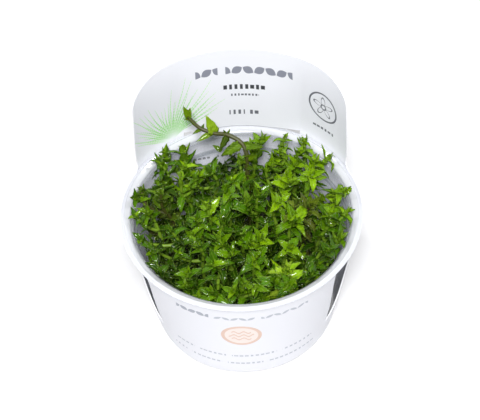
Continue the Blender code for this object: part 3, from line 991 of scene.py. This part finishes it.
def grow_piece(name, lines, nodes, slot="leafy_shoot", **inputs):
    """Lines of nodes grown into one plain mesh that rides in the place of its CAD nodes."""
    mesh = bpy.data.meshes.new(name)
    points = [point for line in lines for point in line]
    edges = []
    first = 0
    for line in lines:
        if line[0]["girth"] > 0.0:
            edges += [(first + index, first + index + 1) for index in range(len(line) - 1)]
        first += len(line)
    mesh.from_pydata([point["co"] for point in points], edges, [])
    for key in ("turn", "lift", "roll", "size", "girth", "age"):
        layer = mesh.attributes.new(key, "FLOAT", "POINT")
        layer.data.foreach_set("value", [point[key] for point in points])
    layer = mesh.attributes.new("leaves", "INT", "POINT")
    layer.data.foreach_set("value", [point["leaves"] for point in points])
    layer = mesh.attributes.new("along", "FLOAT_VECTOR", "POINT")
    layer.data.foreach_set("vector", [value for point in points for value in point["along"]])
    seedling = stand(name + "_line", mesh)
    modifier = seedling.modifiers.new("growth", "NODES")
    modifier.node_group = growth
    values = {"Leaf Shapes": leaf_shapes, "Leaf Material": hyssop_leaf, "Stem Material": hyssop_stem,
              "Leaf Width": 1.0, "Unruliness": 0.2, "Bronze": 0.0, "Paleness": 0.0, **cup_fit, **inputs}
    for key, value in values.items():
        modifier[growth_inputs[key]] = value
    evaluated = seedling.evaluated_get(bpy.context.evaluated_depsgraph_get())
    grown = bpy.data.meshes.new_from_object(evaluated)
    grown.name = name
    bpy.data.objects.remove(seedling)
    bpy.data.meshes.remove(mesh)
    for key in ("turn", "lift", "roll", "size", "girth", "leaves", "along", "blade"):
        if key in grown.attributes:
            grown.attributes.remove(grown.attributes[key])
    piece = stand(name, grown)
    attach(piece, "root")
    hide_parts(*nodes)
    return piece


# Short shoots
# Laboratory-grown shoots that fill the cup from wall to wall. Most branch from their upper nodes,
# so the canopy is a dense, uneven crowd of star-shaped tips that spills a little over the mouth.

shoot_count = 45
shoot_spread = 34.0 * MM
shoot_lean = 6.8 * MM
canopy_edge = 60.5 * MM
canopy_rise = 5.5 * MM
golden_turn = math.radians(137.508)
shoot_foot = gel_top + 1.2 * MM
shoot_drift = 1.2
bow_place = 0.55
bow_share = 0.25
branch_neck = 0.45
branch_sag = 0.08
height_chance = (-4.5, 3.5)
neck_reach = 9.0
branch_drop = (8.0, 14.0)
heading_scatter = 0.9
vigour_chance = (0.78, 1.25)
paleness_chance = (-0.35, 0.4)
front_start = -8.0
front_reach = 20.0
side_reach = (4.0, 7.5)
side_drop = (-1.0, 7.0)
wall_scatter = 15.0
sunken_drop = 8.0 * MM
darkest_drop = 20.0 * MM
# Hollows in the canopy, in millimetres: place, reach and depth. The shoots sunk in them also get
# darker leaves, as painted shade.
canopy_hollows = ((10.0, -5.0, 11.5, 26.0), (29.0, -14.0, 9.5, 22.0), (-8.5, 40.0, 13.0, 16.0),
                  (-26.5, 7.0, 6.5, 14.0), (-16.0, 4.5, 6.0, 12.0), (-29.0, -18.5, 6.5, 12.0))
hollow_flat = 0.7
hollow_slope = 0.4
hollow_painted_shade = 1.8
shoot_seed = 11
outer_share = 0.72
wall_reach = 39.5 * MM
wall_heights = (51.0, 45.0, 38.0)
wall_height_chance = 3.0
rim_radius = 40.0 * MM
stem_spec = {"tip_gap": 0.4 * MM, "first_gap": 1.2 * MM, "gap_growth": 1.3, "longest_gap": 4.8 * MM,
             "leafy_share": 0.86, "stem": 1.0 * MM, "leaf": 7.9 * MM, "tip_lift": 72.0,
             "low_lift": 26.0, "spread_ranks": 4.5}
branch_spec = dict(stem_spec, leafy_share=0.9, stem=0.8 * MM, leaf=7.2 * MM)

# Where the leading tips stand, in millimetres: the ones at the mouth's edge, which lean over it,
# and a few that stand out of the crowd.
leading_tips = (
    (-43.8, 6.0, 63.0), (-43.4, -3.5, 62.5), (-41.6, 10.5, 62.0), (-32.4, 31.0, 62.5),
    (-24.7, 32.0, 62.5), (-35.0, 25.5, 62.0), (9.2, 38.0, 62.5), (18.5, 38.0, 63.0),
    (16.7, 31.0, 62.5), (23.8, 23.5, 63.0), (37.2, 26.5, 63.0), (31.3, 24.0, 62.5),
    (43.3, 8.5, 62.5), (43.2, -3.5, 62.5), (40.3, -15.0, 61.5), (35.7, -22.5, 61.5),
    (18.3, -38.0, 59.0), (5.4, -38.8, 60.5), (-11.8, -40.0, 59.5), (-31.7, -31.0, 60.0),
    (-40.6, -15.0, 61.0), (-20.4, -15.0, 63.5), (-3.0, -39.5, 58.5), (-21.5, -37.0, 59.5),
    (29.0, -32.0, 59.5), (26.5, 36.0, 62.0),
)
# Patches of shoots that differ from the rest: place, reach, leaf scale, bronze and paleness.
patches = (
    (28.3, 2.6, 6.0, 1.1, 0.75, -0.1),
    (21.0, -29.0, 8.0, 1.35, 0.05, 1.0),
    (22.0, 12.0, 8.0, 1.1, 0.0, 0.55),
    (36.0, 8.0, 8.0, 1.0, 0.0, 0.45),
    (16.0, 33.0, 9.0, 1.0, 0.0, 0.4),
    (-40.0, 8.0, 8.0, 1.0, 0.0, 0.45),
    (-33.0, 12.0, 5.0, 0.95, 0.35, -0.2),
)


def towards(turn):
    """The level direction at a turn from +X."""
    return Vector((math.cos(turn), math.sin(turn), 0.0))


def canopy_drop(place):
    """How far the canopy sinks at a place, for the dark hollows among the shoots."""
    drop = 0.0
    for x, y, reach, depth in canopy_hollows:
        away = math.hypot(place.x / MM - x, place.y / MM - y) / reach
        drop += depth * MM * (1.0 - smooth_step((away - hollow_flat) / hollow_slope))
    return drop


def shoot_route(number, chance):
    """A short shoot's points: an even spiral over the gel, leaning out, under a domed canopy."""
    turn = number * golden_turn
    out = shoot_spread * math.sqrt((number + 0.5) / shoot_count)
    base = Vector((out * math.cos(turn), out * math.sin(turn), shoot_foot))
    lean = shoot_lean * out / shoot_spread
    drift = Vector([chance.uniform(-shoot_drift, shoot_drift) for _ in range(2)] + [0.0]) * MM
    dome = canopy_rise * (1.0 - (out / shoot_spread) ** 2)
    height = canopy_edge + dome + chance.uniform(*height_chance) * MM
    tip = Vector((base.x, base.y, 0.0)) * ((out + lean) / out) + drift
    tip.z = height - canopy_drop(tip)
    middle = base.lerp(tip, bow_place) - Vector((tip.x - base.x, tip.y - base.y, 0.0)) * bow_share
    return base, middle, tip


def nodding(tip, chance, least, most):
    """The tip's direction: outwards and up, leaning from least to most degrees."""
    outward = math.atan2(tip.y, tip.x) + chance.gauss(0.0, heading_scatter)
    tilt = math.radians(chance.uniform(least, most))
    level = math.sin(tilt)
    return Vector((math.cos(outward) * level, math.sin(outward) * level, math.cos(tilt)))


def branch_line_to(stem_line, tip, chance, vigour, least, most):
    """A side shoot that leaves the stem below the tip that it is to reach, and nods at its end."""
    wanted = tip.z - chance.uniform(*branch_drop) * MM
    leafy = [point for point in stem_line[:-2] if point["rank"] is not None]
    joint = min(leafy, key=lambda point: abs(point["co"].z - wanted))["co"]
    heading = nodding(tip, chance, least, most)
    reach = (tip - joint).length
    neck = tip - heading * reach * branch_neck
    elbow = joint.lerp(neck, 0.5) + Vector((0.0, 0.0, -branch_sag * reach))
    line = node_line((joint, elbow, neck, tip), branch_spec, chance)
    return dress_line(line, branch_spec, chance.uniform(0.0, math.pi), vigour)


def foot_of(node):
    """Where a CAD shoot meets the gel."""
    corners = [vertex.co for vertex in frame["nodes"][node].data.vertices]
    low = min(corner.z for corner in corners)
    feet = [corner for corner in corners if corner.z < low + 0.05 * MM]
    return sum(feet, Vector()) / len(feet)


routes_chance = random.Random(shoot_seed)
routes = [shoot_route(number, routes_chance) for number in range(shoot_count)]
shoot_nodes = sorted(node for node in frame["nodes"] if node.startswith("shoot_"))
numbers = {}
for node in shoot_nodes:
    foot = foot_of(node)
    numbers[node] = min(range(shoot_count), key=lambda index: (routes[index][0] - foot).length)
leaders = {node: [] for node in shoot_nodes}
for place in leading_tips:
    tip = Vector(place) * MM
    free = [node for node in shoot_nodes if len(leaders[node]) < 2]
    nearest = min(free, key=lambda node: (routes[numbers[node]][2].xy - tip.xy).length)
    leaders[nearest].append(tip)

for node in shoot_nodes:
    number = numbers[node]
    base, middle, tip = routes[number]
    chance = random.Random(1000 + number)
    vigour = chance.uniform(*vigour_chance)
    # Painted shade: shoots towards the front get darker leaves.
    front_painted_shade = smooth_step((front_start - tip.y / MM) / front_reach)
    style = {"Bronze": 0.0, "Paleness": chance.uniform(*paleness_chance) - 0.2 * front_painted_shade}
    for x, y, reach, leaf_scale, bronze_share, pale in patches:
        if math.hypot(tip.x / MM - x, tip.y / MM - y) < reach:
            vigour = leaf_scale
            style = {"Bronze": bronze_share, "Paleness": pale}
    # Painted shade: the deeper a shoot's tip sits in a hollow, the darker its leaves.
    style["Paleness"] -= hollow_painted_shade * min(1.0, canopy_drop(tip) / darkest_drop)
    rim_share = min(1.0, math.hypot(tip.x, tip.y) / rim_radius)
    heading = nodding(tip, chance, 4.0, 18.0 + 24.0 * rim_share ** 2)
    neck = tip - heading * neck_reach * MM
    stem_line = node_line((base, middle, neck, tip), stem_spec, chance)
    dress_line(stem_line, stem_spec, chance.uniform(0.0, math.pi), vigour)
    lines = [stem_line]
    for leader in leaders[node]:
        lines.append(branch_line_to(stem_line, leader, chance, vigour, 20.0, 45.0))
    sunken = canopy_drop(tip) > sunken_drop
    for _ in range(chance.choice((0, 1, 1)) if not leaders[node] and not sunken else 0):
        turn = chance.uniform(0.0, math.tau)
        reach = chance.uniform(*side_reach) * MM
        end = tip + towards(turn) * reach
        end.z = tip.z - chance.uniform(*side_drop) * MM
        end.z -= max(0.0, canopy_drop(end) - canopy_drop(tip))
        lines.append(branch_line_to(stem_line, end, chance, vigour, 10.0, 50.0))
    if base.xy.length > outer_share * shoot_spread:
        outward = math.atan2(base.y, base.x)
        for height in wall_heights:
            turn = outward + math.radians(chance.uniform(-wall_scatter, wall_scatter))
            end = towards(turn) * wall_reach
            end.z = (height + chance.uniform(-wall_height_chance, wall_height_chance)) * MM
            lines.append(branch_line_to(stem_line, end, chance, vigour, 10.0, 40.0))
    grow_piece("leafy_" + node, lines, [node], Seed=number * 10, **style)


# Tall shoot
# One older, olive-brown shoot that grew past the rim and leans left over the back of the cup. Its
# leaves are bigger and thinner, and each is placed one by one: where it leaves the stem, where its tip
# is, how far its blade is rolled from facing the front, and how old it is.

tall_route = [Vector(point) * MM for point in (
    (4.5, 12.0, 20.4),
    (3.0, 17.0, 40.0),
    (2.3, 24.1, 59.1),
    (2.5, 26.2, 64.2),
    (0.3, 29.6, 68.9),
    (-6.1, 32.7, 71.0),
    (-10.4, 34.0, 70.0),
    (-17.3, 36.2, 71.4),
    (-22.2, 38.6, 76.0),
)]
tall_leaves = (
    ((0.8, 29.0, 68.4), (8.6, 28.2, 67.5), 0.2, 0.9),
    ((0.0, 29.6, 68.8), (-7.9, 26.5, 64.6), -0.2, 0.8),
    ((-6.0, 32.6, 70.9), (-9.6, 29.3, 65.6), -0.6, 0.9),
    ((-6.0, 32.7, 71.0), (-7.4, 33.8, 73.2), 0.0, 0.6),
    ((-5.6, 32.5, 71.0), (-4.6, 34.2, 72.6), 0.4, 0.6),
    ((-8.2, 28.6, 65.0), (-12.2, 30.6, 67.6), 0.3, 0.9),
    ((-11.2, 34.2, 70.0), (-13.2, 36.0, 77.2), 0.3, -0.4),
    ((-11.6, 34.2, 69.9), (-19.0, 31.8, 66.2), 0.6, 0.5),
    ((-16.4, 35.9, 71.0), (-15.0, 36.8, 73.8), 0.2, 0.4),
    ((-16.6, 36.0, 71.2), (-20.2, 34.8, 69.4), -0.3, 0.4),
    ((-18.8, 36.8, 72.6), (-22.4, 37.8, 76.4), 0.8, -0.2),
    ((-21.0, 38.0, 74.6), (-24.4, 37.6, 75.4), 0.2, 0.3),
    ((-22.0, 38.5, 75.8), (-24.2, 39.6, 81.6), 0.4, 0.1),
    ((-21.6, 38.3, 75.4), (-20.6, 39.6, 79.8), -0.4, -0.3),
    ((2.4, 26.0, 63.5), (7.0, 23.6, 69.4), 0.6, 0.0),
    ((2.2, 25.6, 62.5), (-1.6, 22.6, 64.6), -0.5, 0.4),
    ((2.3, 24.4, 60.0), (6.4, 20.6, 62.0), 0.3, 0.6),
    ((2.3, 24.0, 59.0), (-0.8, 27.6, 60.4), 0.3, 0.7),
    ((2.5, 22.4, 55.0), (-2.0, 18.6, 60.0), -0.3, 0.5),
    ((2.5, 22.4, 55.0), (7.0, 19.4, 60.5), 0.4, 0.4),
    ((2.7, 20.6, 50.5), (-0.6, 15.4, 54.0), 0.2, 0.7),
    ((2.7, 20.6, 50.5), (5.6, 15.0, 56.0), -0.2, 0.6),
    ((2.9, 18.6, 45.5), (-1.6, 13.6, 50.0), 0.3, 0.8),
    ((2.9, 18.6, 45.5), (6.6, 13.6, 50.5), -0.3, 0.8),
)
leaf_facing = Vector((0.0, -0.64, 0.77))
tall_leaf_forms = (
    {"curl": 0.25, "fold": 0.45, "twist": 0.15, "width": 0.25},
    {"curl": -0.35, "fold": 0.70, "twist": -0.25, "width": 0.23},
    {"curl": 0.45, "fold": 0.55, "twist": -0.35, "width": 0.26},
    {"curl": -0.2, "fold": 0.35, "twist": 0.30, "width": 0.24},
)
tall_leaf_shapes = leaf_collection("tall_leaf_shapes", tall_leaf_forms)
tall_spec = {"tip_gap": 0.3 * MM, "first_gap": 2.0 * MM, "gap_growth": 1.0, "longest_gap": 2.0 * MM,
             "leafy_share": 0.6, "stem": 1.35 * MM, "leaf": 0.0, "tip_lift": 0.0,
             "low_lift": 0.0, "spread_ranks": 1.0}
tall_line = dress_line(node_line(tall_route, tall_spec, random.Random(5)), tall_spec, 0.0, 1.0)
tall_lines = [tall_line]
for foot, tip, roll, age in tall_leaves:
    foot = Vector(foot) * MM
    way = Vector(tip) * MM - foot
    turn = math.atan2(way.y, way.x)
    lift = math.asin(way.z / way.length)
    beside = Vector((-math.sin(turn), math.cos(turn), 0.0))
    roll += math.atan2(-beside.dot(leaf_facing), way.normalized().cross(beside).dot(leaf_facing))
    tall_lines.append([{"co": foot, "along": Vector((0.0, 0.0, 1.0)), "girth": 0.0, "leaves": 1,
                        "turn": turn, "lift": lift, "roll": roll, "size": way.length, "age": age}])
grow_piece("leafy_tall_shoot", tall_lines, ["tall_shoot"], "olive_shoot", Seed=77, Bronze=0.35,
           Unruliness=0.0, Paleness=0.2, **{"Leaf Width": 0.92, "Leaf Shapes": tall_leaf_shapes})

for shapes in (leaf_shapes, tall_leaf_shapes):
    for shape in list(shapes.objects):
        bpy.data.objects.remove(shape)
    bpy.data.collections.remove(shapes)


# Studio
# A plain pale floor, soft light from all round with a wide sun high in front and a lamp above each
# side, and the camera where the photograph's was: high in front, a little to the right, turned a few
# degrees.

floor_half = 1.5
floor_mesh = bpy.data.meshes.new("floor")
floor_level = -0.05 * MM
floor_corners = [(x * floor_half, y * floor_half, floor_level)
                 for x, y in ((-1, -1), (1, -1), (1, 1), (-1, 1))]
floor_mesh.from_pydata(floor_corners, [], [(0, 1, 2, 3)])
floor = stand("floor", floor_mesh)
floor_material, tree, shader = new_material("pale_floor")
wire(mixed(grain(tree, 8.0), tone(208, 208, 209), tone(206, 206, 207)),
               shader.inputs["Base Color"])
shader.inputs["Roughness"].default_value = 0.7
floor.data.materials.append(floor_material)

world = bpy.data.worlds.new("studio")
world.use_nodes = True
background = world.node_tree.nodes["Background"]
background.inputs["Color"].default_value = (0.98, 0.99, 1.0, 1.0)
background.inputs["Strength"].default_value = 0.15
bpy.context.scene.world = world


lamp_target = Vector((0.0, 0.0, 0.05))


def area_lamp(name, place, size, power):
    """A square lamp that faces the plant."""
    light = bpy.data.lights.new(name, "AREA")
    light.size = size
    light.energy = power
    lamp = stand(name, light)
    lamp.location = place
    lamp.rotation_euler = (lamp_target - Vector(place)).to_track_quat("-Z", "Y").to_euler()


key_light = bpy.data.lights.new("key_light", "SUN")
key_light.energy = 4.5
key_light.angle = math.radians(18.0)
key = stand("key_light", key_light)
key.rotation_euler = Vector((0.0, 0.53, -0.848)).to_track_quat("-Z", "Y").to_euler()
area_lamp("left_lamp", (-0.45, 0.2, 0.8), 0.09, 2.2)
area_lamp("right_lamp", (0.45, 0.2, 0.8), 0.09, 2.2)

camera_place = Vector((0.01866, -0.38196, 0.52305))
camera_target = Vector((-0.00038, -0.00002, 0.06071))
camera_roll = -3.125
camera_data = bpy.data.cameras.new("camera")
camera_data.lens = 109.9
camera_data.sensor_width = 36.0
camera = stand("camera", camera_data)
camera.location = camera_place
aim = (camera_target - camera_place).to_track_quat("-Z", "Y")
camera.rotation_euler = (aim @ Quaternion((0.0, 0.0, 1.0), math.radians(camera_roll))).to_euler()
bpy.context.scene.camera = camera
bpy.context.scene.view_settings.view_transform = "Standard"
